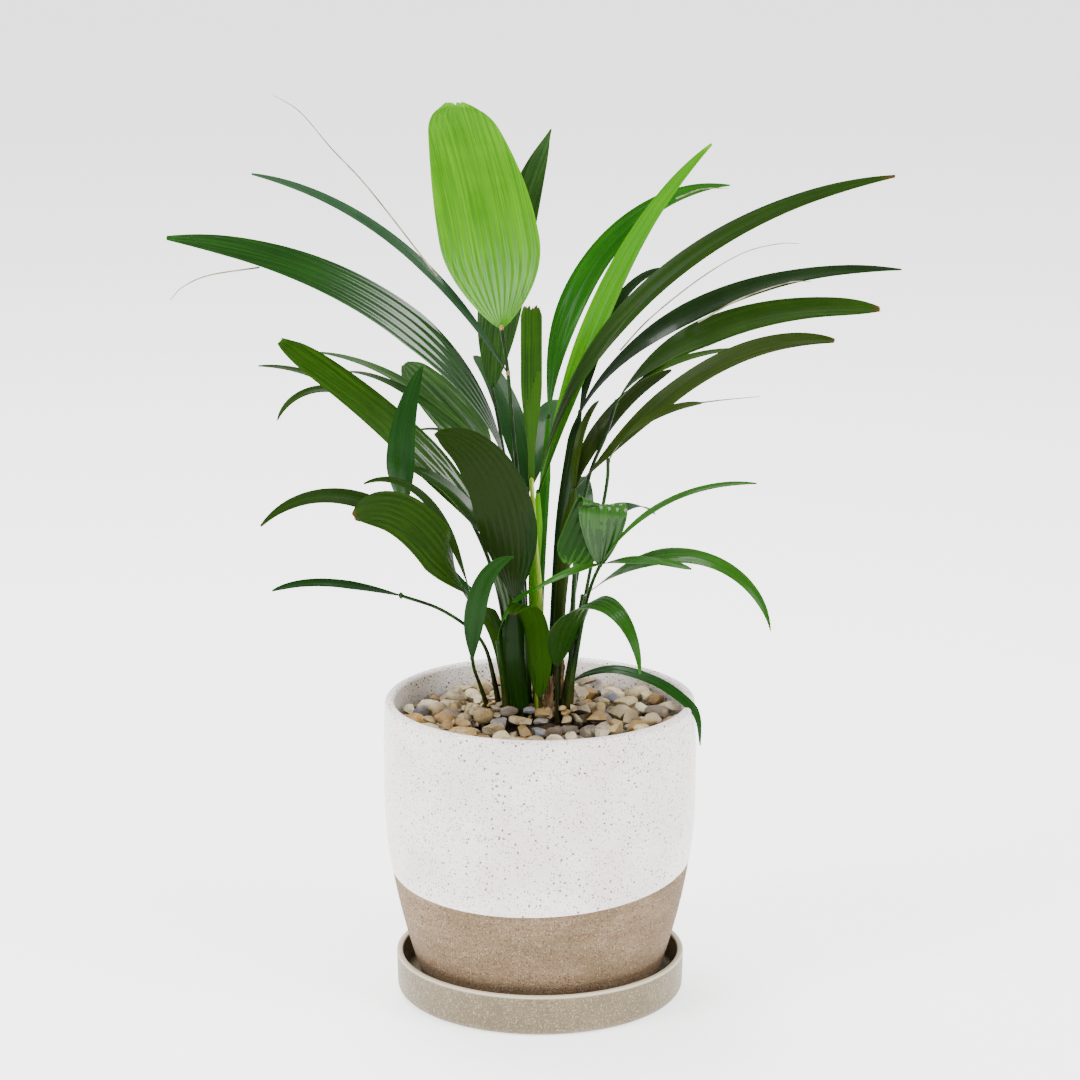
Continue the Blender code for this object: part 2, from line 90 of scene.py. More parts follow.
class Finish:
    """A material under construction. The keyword values are set on the shader's own sockets."""

    def __init__(self, name, **constants):
        self.material = bpy.data.materials.new(name)
        self.material.use_nodes = True
        self.tree = self.material.node_tree
        self.shader = self.tree.nodes["Principled BSDF"]
        for socket, value in constants.items():
            self.shader.inputs[socket.replace("_", " ")].default_value = value
        self.place = self.node("ShaderNodeTexCoord", out="Object")

    def node(self, kind, settings=(), values=(), out=0):
        """Adds a node: its settings first, then the values or links of its sockets."""
        made = self.tree.nodes.new(kind)
        for name, value in dict(settings).items():
            if name == "stops":
                while len(made.color_ramp.elements) < len(value):
                    made.color_ramp.elements.new(1.0)
                for element, (position, colour) in zip(made.color_ramp.elements, value):
                    element.position = position
                    element.color = colour
            elif name == "interpolation":
                made.color_ramp.interpolation = value
            else:
                setattr(made, name, value)
        for socket, value in dict(values).items():
            self.feed(made.inputs[socket], value)
        return Signal(self, made.outputs[out])

    def feed(self, socket, value):
        if isinstance(value, Signal):
            self.tree.links.new(value.socket, socket)
        else:
            socket.default_value = value

    def math(self, operation, one, two):
        return self.node("ShaderNodeMath", {"operation": operation}, {0: one, 1: two})

    def mix(self, share, one, two):
        """Colour one where share is 0, and colour two where it is 1."""
        return self.node("ShaderNodeMix", {"data_type": "RGBA"}, {0: share, 6: one, 7: two}, out=2)

    def stretch(self, x, y, z, vector=None):
        """The place on the object with each axis multiplied: cells come out 1/x by 1/y by 1/z metres."""
        return self.node("ShaderNodeVectorMath", {"operation": "MULTIPLY"},
                         {0: vector or self.place, 1: (x, y, z)})

    def noise(self, vector, scale=1.0, detail=3.0, roughness=0.55):
        return self.node("ShaderNodeTexNoise", (), {"Vector": vector, "Scale": scale, "Detail": detail,
                                                    "Roughness": roughness})

    def ramp(self, value, low, high, start=0.0, end=1.0):
        """Turns low..high into start..end, eased and clamped."""
        return self.node("ShaderNodeMapRange", {"interpolation_type": "SMOOTHSTEP"},
                         {"Value": value, "From Min": low, "From Max": high, "To Min": start, "To Max": end})

    def specks(self, cell, size, share):
        """1 inside small grains: cells of that width, of which a share holds a grain of that size."""
        settings = {"voronoi_dimensions": "3D", "feature": "F1"}
        values = {"Vector": self.place, "Scale": 1 / cell}
        far = self.node("ShaderNodeTexVoronoi", settings, values)
        kind = self.node("ShaderNodeTexVoronoi", settings, values, out="Color")
        lot = self.node("ShaderNodeSeparateColor", (), {0: kind})
        reach = self.ramp(lot, 0.6 * share, share, size / cell, 0.0)
        return self.ramp(far - reach, -0.06, 0.03, 1.0, 0.0)

    def bump(self, height, depth):
        """Raises the surface by up to depth metres where height is 1."""
        values = {"Height": height, "Distance": depth}
        self.tree.links.new(self.node("ShaderNodeBump", (), values).socket, self.shader.inputs["Normal"])

    def surface(self, **signals):
        for socket, signal in signals.items():
            self.tree.links.new(signal.socket, self.shader.inputs[socket.replace("_", " ")])
        return self.material


def arc(middle, radius, start, end, steps):
    """Points of (radius, height) round a corner, from one angle in degrees to another."""
    turn = [radians(start + (end - start) * i / steps) for i in range(steps + 1)]
    return [(middle[0] + radius * cos(a), middle[1] + radius * sin(a)) for a in turn]


def turned(outline, steps=160):
    """Spins a closed outline of (radius, height) points round the Z axis."""
    form = bmesh.new()
    points = [form.verts.new((r, 0, z)) for r, z in outline]
    edges = [form.edges.new(pair) for pair in zip(points, points[1:] + points[:1])
             if pair[0].co.x > 0 or pair[1].co.x > 0]
    bmesh.ops.spin(form, geom=points + edges, cent=(0, 0, 0), axis=(0, 0, 1), angle=2 * pi,
                   steps=steps, use_merge=True)
    bmesh.ops.remove_doubles(form, verts=form.verts, dist=1e-6)
    bmesh.ops.recalc_face_normals(form, faces=form.faces)
    return form


def piece(name, form, finishes, slot, *nodes, sharp=40):
    """Makes the mesh a piece of the object, which stands for those CAD nodes."""
    mesh = bpy.data.meshes.new(name)
    form.to_mesh(mesh)
    form.free()
    mesh.shade_smooth()
    mesh.set_sharp_from_angle(angle=radians(sharp))
    for finish in finishes:
        mesh.materials.append(finish)
    made = bpy.data.objects.new(name, mesh)
    bpy.context.scene.collection.objects.link(made)
    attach(made, "root")
    if nodes:
        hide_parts(*nodes)
    return made


def saucer_outline():
    foot, lip, inner = 4.5 * MM, 1.0 * MM, SAUCER_R - SAUCER_WALL
    outline = [(0, 0)]
    outline += arc((SAUCER_R - 0.4 * MM - foot, foot), foot, -90, 0, 8)
    outline += arc((SAUCER_R - lip, SAUCER_H - lip), lip, 0, 90, 4)
    outline += arc((inner + lip, SAUCER_H - lip), lip, 90, 180, 4)
    outline += arc((inner - 2.4 * MM, SAUCER_FLOOR + 2 * MM), 2 * MM, 0, -90, 5)
    return outline + [(0, SAUCER_FLOOR)]


def saucer_finish():
    sand = Finish("sand_glaze", Coat_Roughness=0.25, Coat_Weight=0.15)
    cloud = sand.noise(sand.place, 38.0, 4.0)
    grain = sand.noise(sand.place, 1500.0, 2.0)
    fleck = sand.noise(sand.place, 1100.0, 2.0)
    colour = sand.mix(sand.ramp(cloud, 0.3, 0.7), paint("#605236"), paint("#6E6042"))
    colour = sand.mix(sand.ramp(grain, 0.35, 0.7, 0.0, 0.6), colour, paint("#4A3C26"))
    colour = sand.mix(sand.ramp(fleck, 0.52, 0.68, 0.0, 0.6), colour, paint("#A09478"))
    colour = sand.mix(sand.specks(0.9 * MM, 0.2 * MM, 0.5) * 0.6, colour, paint("#B5A68A"))
    colour = sand.mix(sand.specks(1.1 * MM, 0.3 * MM, 0.5) * 0.8, colour, paint("#3E3220"))
    height = sand.node("ShaderNodeSeparateXYZ", (), {0: sand.place}, out="Z")
    lip = sand.ramp(height, SAUCER_H - 1.6 * MM, SAUCER_H - 0.5 * MM)
    colour = sand.mix(lip * 0.7, colour, paint("#D8CCB2"))
    sand.bump(grain * 0.6 + cloud * 0.5, 0.12 * MM)
    return sand.surface(Base_Color=colour, Roughness=sand.ramp(grain, 0.2, 0.8, 0.38, 0.62))


piece("saucer_dish", turned(saucer_outline()), [saucer_finish()], "saucer_glaze", "saucer")

# Pot
# A thrown stoneware planter with a drain hole. Its upper part was dipped, a little askew, in a thick
# off-white glaze with iron specks; below that line the sandy clay is bare, gritty and ringed by the tool.

POT_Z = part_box("pot")[0].z
RIM_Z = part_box("pot")[1].z
POT_H = RIM_Z - POT_Z
BELLY_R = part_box("pot")[1].x
BASE_R = 56.5 * MM
RIM_R = 74.2 * MM
POT_WALL = 4.6 * MM
POT_FLOOR = 7 * MM
BELLY_Z, SHOULDER_Z = 95 * MM, 118 * MM  # above the pot's base
DRAIN_R = 6 * MM
DIP_Z = 67 * MM
DIP_TILT = Vector((-0.036, -0.096, 1)).normalized()
GLAZE = 0.3 * MM  # how far the glaze stands proud of the clay


def pot_r(height):
    """The pot's outer radius at a height above its base."""
    if height < BELLY_Z:
        return BASE_R + (BELLY_R - BASE_R) * sin(pi / 2 * height / BELLY_Z) ** 0.87
    share = max(0, (height - SHOULDER_Z) / (POT_H - SHOULDER_Z))
    return BELLY_R - (BELLY_R - RIM_R) * share ** 2


def pot_outline():
    lip = POT_WALL / 2
    top = POT_H - lip
    levels = [top * (i / 28) ** 1.3 for i in range(1, 29)]
    outline = [(DRAIN_R, 0), (BASE_R - 1.5 * MM, 0), (BASE_R - 0.3 * MM, 0.4 * MM)]
    outline += [(pot_r(z), z) for z in levels if z > 1 * MM]
    outline += arc((pot_r(top) - lip, top), lip, 0, 180, 10)
    outline += [(pot_r(z) - POT_WALL, z) for z in reversed(levels) if z > POT_FLOOR + 4 * MM]
    outline += [(pot_r(POT_FLOOR) - POT_WALL - 2 * MM, POT_FLOOR), (DRAIN_R, POT_FLOOR)]
    return [(r, POT_Z + z) for r, z in outline]


def dipped(form):
    """Parts the pot along the tilted glaze line, and draws the bare clay in under the glaze's edge."""
    line = Vector((0, 0, DIP_Z))
    for drop in (0, GLAZE):
        bmesh.ops.bisect_plane(form, geom=form.verts[:] + form.edges[:] + form.faces[:],
                               plane_co=line - DIP_TILT * drop, plane_no=DIP_TILT, dist=1e-7)
    for face in form.faces:
        face.material_index = int((face.calc_center_median() - line).dot(DIP_TILT) < 0)
    for vert in form.verts:
        if (vert.co - line).dot(DIP_TILT) < -0.5 * GLAZE and vert.co.xy.length > BASE_R - 1 * MM:
            vert.co.xy *= 1 - GLAZE / vert.co.xy.length
    return form


def glaze_finish():
    glaze = Finish("speckled_glaze", Coat_Roughness=0.12, Coat_Weight=0.35)
    cloud = glaze.noise(glaze.place, 26.0, 3.0)
    pit = glaze.noise(glaze.place, 620.0, 2.0)
    colour = glaze.mix(glaze.ramp(cloud, 0.3, 0.7), paint("#E0D6D0"), paint("#F0EBE8"))
    colour = glaze.mix(glaze.specks(0.6 * MM, 0.2 * MM, 0.7) * 0.55, colour, paint("#A08F80"))
    colour = glaze.mix(glaze.specks(0.95 * MM, 0.3 * MM, 0.75) * 0.75, colour, paint("#9C8B7C"))
    colour = glaze.mix(glaze.specks(1.5 * MM, 0.42 * MM, 0.8) * 0.85, colour, paint("#6C5C4E"))
    colour = glaze.mix(glaze.specks(2.9 * MM, 0.6 * MM, 0.8) * 0.95, colour, paint("#40322A"))
    glaze.bump(cloud * 0.8 + pit * 0.25, 0.16 * MM)
    return glaze.surface(Base_Color=colour, Roughness=glaze.ramp(pit, 0.2, 0.8, 0.26, 0.42))


def clay_finish():
    clay = Finish("bare_clay")
    rings = clay.noise(clay.stretch(30, 30, 520), 1.0, 4.0, 0.65)
    patch = clay.noise(clay.stretch(26, 26, 60), 1.0, 4.0)
    grit = clay.noise(clay.place, 900.0, 3.0, 0.7)
    pits = clay.specks(1.3 * MM, 0.42 * MM, 0.6)
    sparkle = clay.specks(1.0 * MM, 0.24 * MM, 0.5)
    height = clay.node("ShaderNodeSeparateXYZ", (), {0: clay.place}, out="Z")
    colour = clay.mix(clay.ramp(patch, 0.3, 0.7), paint("#6C5A40"), paint("#8A745A"))
    colour = clay.mix(clay.ramp(rings, 0.42, 0.72, 0.0, 0.5), colour, paint("#6C4E32"))
    colour = clay.mix(clay.ramp(grit, 0.46, 0.68, 0.0, 0.75), colour, paint("#4E3822"))
    colour = clay.mix(clay.specks(0.8 * MM, 0.28 * MM, 0.7) * 0.6, colour, paint("#3E2C18"))
    colour = clay.mix(clay.ramp(height, 8 * MM, 55 * MM, 0.45, 0.0), colour, paint("#5A4226"))
    colour = clay.mix(pits * clay.ramp(patch, 0.35, 0.65, 0.3, 0.9), colour, paint("#422A16"))
    colour = clay.mix(sparkle * 0.7, colour, paint("#C8B69C"))
    clay.bump(rings * 0.6 + grit * 0.6 - pits * 0.7, 1.0 * MM)
    return clay.surface(Base_Color=colour, Roughness=clay.ramp(grit, 0.3, 0.7, 0.7, 0.95))


piece("pot_body", dipped(turned(pot_outline())), [glaze_finish(), clay_finish()], "stoneware_glaze", "pot")

# Soil
# Dark peaty compost, crumbled in by hand round the roots. It is pressed against the pot's wall, and only
# shows in the gaps between the stones.

SOIL_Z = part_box("soil")[1].z
SOIL_LEVELS = (12 * MM, 30 * MM, 60 * MM, 90 * MM)  # above the pot's base, where the plug follows the wall


def soil_form():
    """A turned plug whose top is roughened into crumbs."""
    rows = 26
    inner = pot_r(SOIL_Z - POT_Z) - POT_WALL - 0.5 * MM
    outline = [(0, POT_Z + POT_FLOOR + CLEARANCE)]
    outline += [(pot_r(z) - POT_WALL - 2.5 * MM, POT_Z + z) for z in SOIL_LEVELS]
    outline += [(inner * i / rows, SOIL_Z) for i in range(rows, -1, -1)]
    form = turned(outline, 96)
    crumbs = Random(5)
    for vert in form.verts:
        if vert.co.z > SOIL_Z - 1e-6:
            vert.co.z += crumbs.uniform(-1.5, 2.2) * MM
    return form


def soil_finish():
    soil = Finish("peat", Roughness=0.95)
    crumb = soil.noise(soil.place, 420.0, 5.0, 0.7)
    damp = soil.noise(soil.place, 60.0, 3.0)
    colour = soil.mix(soil.ramp(crumb, 0.3, 0.75), paint("#1A120C"), paint("#4A3424"))
    colour = soil.mix(soil.ramp(damp, 0.4, 0.7, 0.0, 0.5), colour, paint("#140E0A"))
    soil.bump(crumb, 1.2 * MM)
    return soil.surface(Base_Color=colour)


piece("soil_fill", soil_form(), [soil_finish()], "soil", "soil")

# Root crown
# The woody foot of the clump, where every cane and stalk starts. It sits half in the compost, and is
# rough with the stubs of old sheaths, with stones lying over and around it.

STEMS_AT = Vector((-5, 3, 0)) * MM
CROWN_R = 24 * MM
CROWN_FLATNESS = 0.66
CROWN_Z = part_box("root_crown")[1].z


def crown_finish():
    bark = Finish("crown_bark", Roughness=0.92)
    fibre = bark.noise(bark.stretch(900, 900, 120), 1.0, 4.0, 0.7)
    lump = bark.noise(bark.place, 110.0, 3.0)
    colour = bark.mix(bark.ramp(fibre, 0.3, 0.72), paint("#1A120A"), paint("#46341F"))
    colour = bark.mix(bark.ramp(lump, 0.45, 0.7, 0.0, 0.5), colour, paint("#33261A"))
    bark.bump(fibre * 0.6 + lump, 1.0 * MM)
    return bark.surface(Base_Color=colour)


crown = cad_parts["root_crown"]
crown_bark = crown_finish()
if not crown.material_slots:
    crown.data.materials.append(crown_bark)
for slot in crown.material_slots:
    slot.material = crown_bark

# Gravel
# River pebbles of quartz, sandstone and flint, mostly 7 to 15 mm long, poured loose over the compost.
# They lie on each other, lean against the wall and fill in round the stems, with smaller ones between.

GRAVEL_Z = CROWN_Z + 1 * MM
GRAVEL_LOW = SOIL_Z + 0.5 * MM
PEBBLE_LENGTH = (7.5 * MM, 14.5 * MM)
PEBBLE_SWELL = 1.22  # makes up for what the worn sides take off
POURED = 1900  # stones tried; one that would lie too high is left out
SMALL_FROM, SMALL = 700, 0.68  # from this stone on, lengths are this share
TINY_FROM, TINY = 1400, 0.5
CROWN_COVER, BED_COVER, SMALL_COVER = 8.0 * MM, 3.0 * MM, -1.5 * MM  # highest tops, from GRAVEL_Z
FOOT_R = 1.2 * MM  # room that a stalk keeps free of stones
FEET = [(-5, 6), (-8, 13), (-1, -3.5), (0, 10), (-1, 5), (4, 14), (14, 11), (7, 2), (14, -2), (12, -5.5),
        (10, -1), (8, -9), (-1, -9), (-24, 4), (-19, 5), (-13, -4), (-14, 2), (-10, -2), (-7, 2),
        (-12, 11), (-8, -8), (-16, -7), (-14, 8), (-2, 16), (3, 17), (9, 5), (-26, 0), (-20, 1)]


class Heap:
    """How high the stones lie, kept as a map of 1 mm cells over the pot's mouth."""

    def __init__(self, reach):
        self.size = int(reach / MM) + 1
        line = np.arange(-self.size, self.size + 1) * MM
        self.x, self.y = np.meshgrid(line, line, indexing="ij")
        self.level = np.full(self.x.shape, GRAVEL_LOW)
        oval = (((self.x - STEMS_AT.x) / CROWN_R) ** 2
                + ((self.y - STEMS_AT.y) / CROWN_R / CROWN_FLATNESS) ** 2)
        self.level[oval < 1] = CROWN_Z
        self.crown = oval < 1.15
        self.level[self.x ** 2 + self.y ** 2 > reach ** 2] = 1.0
        for x, y in FEET:
            self.level[(self.x - x * MM) ** 2 + (self.y - y * MM) ** 2 < FOOT_R ** 2] = 1.0

    def dome(self, spot, turn, half):
        """The cells under a stone of those half sizes, and how far it reaches above its middle there."""
        i, j, r = (int(round(v / MM)) for v in (spot[0], spot[1], max(half[:2])))
        cells = (slice(max(0, i + self.size - r), i + self.size + r + 1),
                 slice(max(0, j + self.size - r), j + self.size + r + 1))
        dx, dy = self.x[cells] - spot[0], self.y[cells] - spot[1]
        along = (dx * cos(turn) + dy * sin(turn)) / half[0]
        across = (dy * cos(turn) - dx * sin(turn)) / half[1]
        left = 1 - along ** 2 - across ** 2
        return cells, np.where(left > 0, half[2] * np.sqrt(np.maximum(left, 0)), -1.0)

    def rest(self, spot, turn, half):
        """How high the middle of a stone comes to lie there."""
        cells, dome = self.dome(spot, turn, half)
        return float(np.where(dome >= 0, self.level[cells] + dome, 0).max())

    def on_crown(self, spot):
        return self.crown[round(spot[0] / MM) + self.size, round(spot[1] / MM) + self.size]

    def lay(self, spot, turn, half, height):
        cells, dome = self.dome(spot, turn, half)
        level = self.level[cells]
        self.level[cells] = np.where(dome >= 0, np.maximum(level, height + dome), level)


def pebble(form, half, spot, turn, dice):
    """A ball of 80 faces, squashed, worn flat on several sides, and laid in place."""
    verts = bmesh.ops.create_icosphere(form, subdivisions=2, radius=1.0)["verts"]
    worn = [(Vector([dice.gauss(0, 1) for _ in range(3)]).normalized(), dice.uniform(0.4, 0.8))
            for _ in range(8)]
    tone, shade = form.verts.layers.float["tone"], form.verts.layers.float["shade"]
    mine = dice.random(), dice.random()
    lie = Matrix.Rotation(turn, 3, "Z") @ Matrix.Rotation(dice.uniform(-0.3, 0.3), 3, "X")
    for vert in verts:
        for side, depth in worn:
            vert.co -= side * max(0, vert.co.dot(side) - depth)
        vert.co *= PEBBLE_SWELL
        vert.co = lie @ Vector([c * h for c, h in zip(vert.co, half)]) + spot
        vert[tone], vert[shade] = mine


def gravel_form():
    """Drops stones one by one where they come to lie lowest, until the bed is full."""
    form = bmesh.new()
    for name in ("tone", "shade"):
        form.verts.layers.float.new(name)
    dice = Random(11)
    reach = pot_r(GRAVEL_Z - POT_Z) - POT_WALL - 0.4 * MM
    heap = Heap(reach)
    for i in range(POURED):
        small = i >= SMALL_FROM
        length = dice.uniform(*PEBBLE_LENGTH) * (TINY if i >= TINY_FROM else SMALL if small else 1)
        half = [length / 2, length / 2 * dice.uniform(0.6, 0.85), length / 2 * dice.uniform(0.45, 0.7)]
        found = []
        for _ in range(24 if small else 10):
            way, far, turn = dice.uniform(0, 2 * pi), reach * sqrt(dice.random()), dice.uniform(0, pi)
            spot = far * cos(way), far * sin(way)
            if i % 3 == 2:
                far *= CROWN_R * 1.1 / reach
                spot = STEMS_AT.x + far * cos(way), STEMS_AT.y + far * sin(way) * CROWN_FLATNESS
            found.append((heap.rest(spot, turn, half), spot, turn))
        height, spot, turn = min(found)
        top = GRAVEL_Z + (CROWN_COVER if heap.on_crown(spot) else SMALL_COVER if small else BED_COVER)
        if height + half[2] * 0.8 < top:
            heap.lay(spot, turn, half, height)
            pebble(form, half, Vector((*spot, height)), turn, dice)
    return form


def pebble_finish():
    stone = Finish("river_pebbles")
    tone = stone.node("ShaderNodeAttribute", {"attribute_name": "tone"}, out="Fac")
    shade = stone.node("ShaderNodeAttribute", {"attribute_name": "shade"}, out="Fac")
    colours = ["#B8A67E", "#9A8456", "#CFC2A0", "#8A6C34", "#857C6C", "#A8946A", "#9A742E", "#666A72",
               "#C4B592", "#968A70", "#5A5044", "#B4A37C"]
    stops = [(i / len(colours), paint(code)) for i, code in enumerate(colours)]
    colour = stone.node("ShaderNodeValToRGB", {"interpolation": "CONSTANT", "stops": stops}, {0: tone})
    vein = stone.noise(stone.stretch(170, 170, 260), 1.0, 4.0, 0.6)
    stain = stone.noise(stone.place, 240.0, 3.0)
    grain = stone.noise(stone.place, 1300.0, 3.0, 0.7)
    colour = stone.mix(stone.ramp(vein, 0.5, 0.72, 0.0, 0.4), colour, paint("#CFC4A8"))
    colour = stone.mix(stone.ramp(stain, 0.5, 0.7, 0.0, 0.6), colour, paint("#7A5420"))
    colour = stone.mix(stone.ramp(grain, 0.5, 0.72, 0.0, 0.65), colour, paint("#3E3220"))
    colour = stone.mix(stone.ramp(shade, 0.0, 1.0, 0.5, 0.0), colour, paint("#4E3E28"))
    stone.bump(vein * 0.5 + stain * 0.6 + grain * 0.4, 1.1 * MM)
    return stone.surface(Base_Color=colour, Roughness=stone.ramp(grain + shade * 0.3, 0.3, 0.9, 0.42, 0.75))


piece("gravel_stones", gravel_form(), [pebble_finish()], "gravel", "gravel", sharp=42)

# Canes
# Three short canes stand in the clump, each wrapped in the dry brown fibre of old leaf sheaths, which
# frays at the top. They are 4 to 5 mm thick and hide among the stalks.

CANES = {"cane_front": (4, -5, 21), "cane_left": (-11, 5, 26), "cane_back": (9, 12, 24)}  # x, y, top in mm
CANE_R = 2.4 * MM


def at(across, back, up):
    """A place in millimetres from the pot's axis, up from the top of the gravel."""
    return Vector((across * MM, back * MM, GRAVEL_Z + up * MM))


def through(points, steps):
    """A soft curve through chosen points."""
    path = []
    ends = [2 * points[0] - points[1]] + points + [2 * points[-1] - points[-2]]
    for a, b, c, d in zip(ends, ends[1:], ends[2:], ends[3:]):
        for i in range(steps):
            t = i / steps
            path.append(0.5 * (2 * b + (c - a) * t + (2 * a - 5 * b + 4 * c - d) * t ** 2
                               + (3 * b - a - 3 * c + d) * t ** 3))
    return path + [points[-1]]


def headings(path):
    ends = [path[0]] + path + [path[-1]]
    return [(after - before).normalized() for before, after in zip(ends, ends[2:])]


def sheet(form, rows, columns, spot, finish=0):
    """Adds a grid whose points go where spot(row, across) says, with across from -1 to 1."""
    verts = bmesh.ops.create_grid(form, x_segments=rows, y_segments=columns, size=1.0)["verts"]
    for vert in verts:
        vert.co = spot(vert, round((vert.co.x + 1) / 2 * rows), vert.co.y)
    faces = list({face for vert in verts for face in vert.link_faces})
    for face in faces:
        face.material_index = finish
    return verts, faces


def tube(form, path, radius, sides=10, finish=0):
    """A closed round stem along a path, where radius(share) is its radius."""
    aheads = headings(path)
    rows = len(path) + 1

    def spot(_vert, row, across):
        i = min(max(row - 1, 0), len(path) - 1)
        side = Vector((0, 1, 0)).cross(aheads[i]).normalized()
        back = aheads[i].cross(side)
        r = 0 if row in (0, rows) else radius(i / (len(path) - 1))
        return path[i] + r * (side * cos(pi * across) + back * sin(pi * across))

    verts, _ = sheet(form, rows, sides, spot, finish)
    bmesh.ops.remove_doubles(form, verts=verts, dist=1e-6)


def fibre_finish():
    fibre = Finish("cane_fibre", Roughness=0.9)
    strand = fibre.noise(fibre.stretch(1300, 1300, 90), 1.0, 4.0, 0.7)
    weave = fibre.noise(fibre.stretch(500, 500, 500), 1.0, 2.0)
    colour = fibre.mix(fibre.ramp(strand, 0.3, 0.7), paint("#2A1C10"), paint("#8A6A42"))
    colour = fibre.mix(fibre.ramp(weave, 0.5, 0.7, 0.0, 0.4), colour, paint("#3B2A18"))
    fibre.bump(strand + weave * 0.4, 0.6 * MM)
    return fibre.surface(Base_Color=colour)


cane_fibre = fibre_finish()
for name, (x, y, top) in CANES.items():
    form = bmesh.new()
    frayed = Random(top)
    run = through([at(x, y, -2), at(x * 1.03, y * 1.03, top / 2), at(x * 1.08, y * 1.08, top)], 16)
    tube(form, run, lambda share: CANE_R * (1 - 0.25 * share + 0.1 * (share * 5 % 1)), 14)
    for _ in range(9):
        way, lean = frayed.uniform(0, 2 * pi), frayed.uniform(0.2, 1.0)
        out = Vector((cos(way), sin(way), 0)) * CANE_R * 0.8
        start = run[frayed.randrange(16, 28)] + out
        tip = start + out * lean + Vector((0, 0, frayed.uniform(3, 8) * MM))
        tube(form, through([start, start.lerp(tip, 0.5) + out * 0.1, tip], 3), lambda share: 0.22 * MM, 5)
    piece(name.replace("cane", "fibre_cane"), form, [cane_fibre], "cane_fibre", name)

# Top leaves
# The youngest leaves stand highest. The top leaf opened as one broad pleated paddle, lit through and
# yellow-green, with a narrow strap beside it; a darker one rises behind. Each grew as one piece, from
# stalk to tips, and the blades of a leaf start at the brown knob that ends its stalk.

BLADE_THICKNESS = 0.36 * MM
ROOT_WIDTH = 1.8 * MM
SET_OUT = 0.5 * MM  # how far out of the knob's middle a blade starts
PLEAT_SLOPE = 0.15
KNOB_R = 1.7 * MM
KNOB_FLATNESS = 0.65
FOLD_LEVEL = Vector((-1, -0.1, 0.2))  # the way the width of a folded blade lies
LEAF_LAYERS = ("along", "across", "reach", "edge", "tint", "under")  # what a leaf's skin reads
SKIN, STALK, CORK, THREAD, OLDER = range(5)  # a leaf's material slots
STALK_FOOT_Z = CROWN_Z + CLEARANCE


def arch(start, facing, length, launch, land, bend):
    """Runs out in one upright plane from start while its slope goes from launch to land, in degrees."""
    ahead = Vector((cos(radians(facing)), sin(radians(facing)), 0))
    rows = max(20, int(length / 2.6))
    spot = start + ahead * SET_OUT
    path = [spot.copy()]
    for i in range(rows * 3):
        slope = radians(launch + (land - launch) * ((i + 0.5) / rows / 3) ** bend)
        spot = spot + (ahead * cos(slope) + Vector((0, 0, sin(slope)))) * length * MM / rows / 3
        if i % 3 == 2:
            path.append(spot.copy())
    return path


def blade_width(share, width, tip):
    """Widens fast from its root, keeps its width, then narrows to tip times that width."""
    if share < 0.35:
        return ROOT_WIDTH + (width - ROOT_WIDTH) * sin(pi / 2 * share / 0.35) ** 0.8
    end = sqrt(1 - max(0, (share - 0.85) / 0.16) ** 2)
    return end * width * (1 - (1 - tip) * ((share - 0.35) / 0.65) ** 1.8)


def blade(form, path, width, roll, tip, ribs, tint, outline=blade_width, finish=0, level=None):
    """A pleated strip along a path, turned by roll degrees about its length, with a bitten-off tip."""
    rows = len(path) - 1
    columns = 8 * ribs if ribs > 1 else 10
    level = level or Vector((0, 0, 1)).cross(path[-1] - path[0])
    level = level.normalized() if level.length > 0.1 * MM else Vector((-1, 0, 0))
    dice = Random(int(1e5 * (path[-1].x + path[-1].z)))
    wave, ripple = dice.uniform(0, 2 * pi), dice.uniform(2, 4)
    teeth = [dice.uniform(0.0, 1.0) for _ in range(columns + 1)]
    frames = []
    for i, (spot, ahead) in enumerate(zip(path, headings(path))):
        side = (level - ahead * level.dot(ahead)).normalized()
        face = ahead.cross(side)
        turn = radians(roll) * min(1, 2.5 * i / rows)
        frames.append((spot, ahead, side * cos(turn) + face * sin(turn),
                       face * cos(turn) - side * sin(turn)))
    layers = form.verts.layers.float

    def place(vert, row, u):
        share = row / rows
        spot, ahead, side, face = frames[row]
        wide = outline(share, width, tip) / 2
        pleat = PLEAT_SLOPE * wide / ribs
        lift = pleat * (0.5 - 0.5 * cos(pi * u * ribs)) if ribs > 1 else pleat * sqrt(u * u + 0.01)
        lift += 0.35 * MM * sin(wave + ripple * pi * share) * u * min(1, wide / (4 * MM))
        ragged = teeth[round((u + 1) / 2 * columns)] * min(wide, 4 * MM) * 0.7 * max(0, share - 0.93) / 0.07
        vert[layers["along"]] = share * length
        vert[layers["across"]] = u * wide
        vert[layers["reach"]] = share
        vert[layers["edge"]] = abs(u)
        vert[layers["tint"]] = tint
        return spot + side * u * wide + face * (lift + BLADE_THICKNESS / 2) - ahead * ragged

    length = sum((b - a).length for a, b in zip(path, path[1:]))
    verts, faces = sheet(form, rows, columns, place, finish)
    grown = bmesh.ops.solidify(form, geom=faces, thickness=BLADE_THICKNESS)["geom"]
    for item in grown:
        if isinstance(item, bmesh.types.BMVert):
            item[layers["under"]] = 1.0


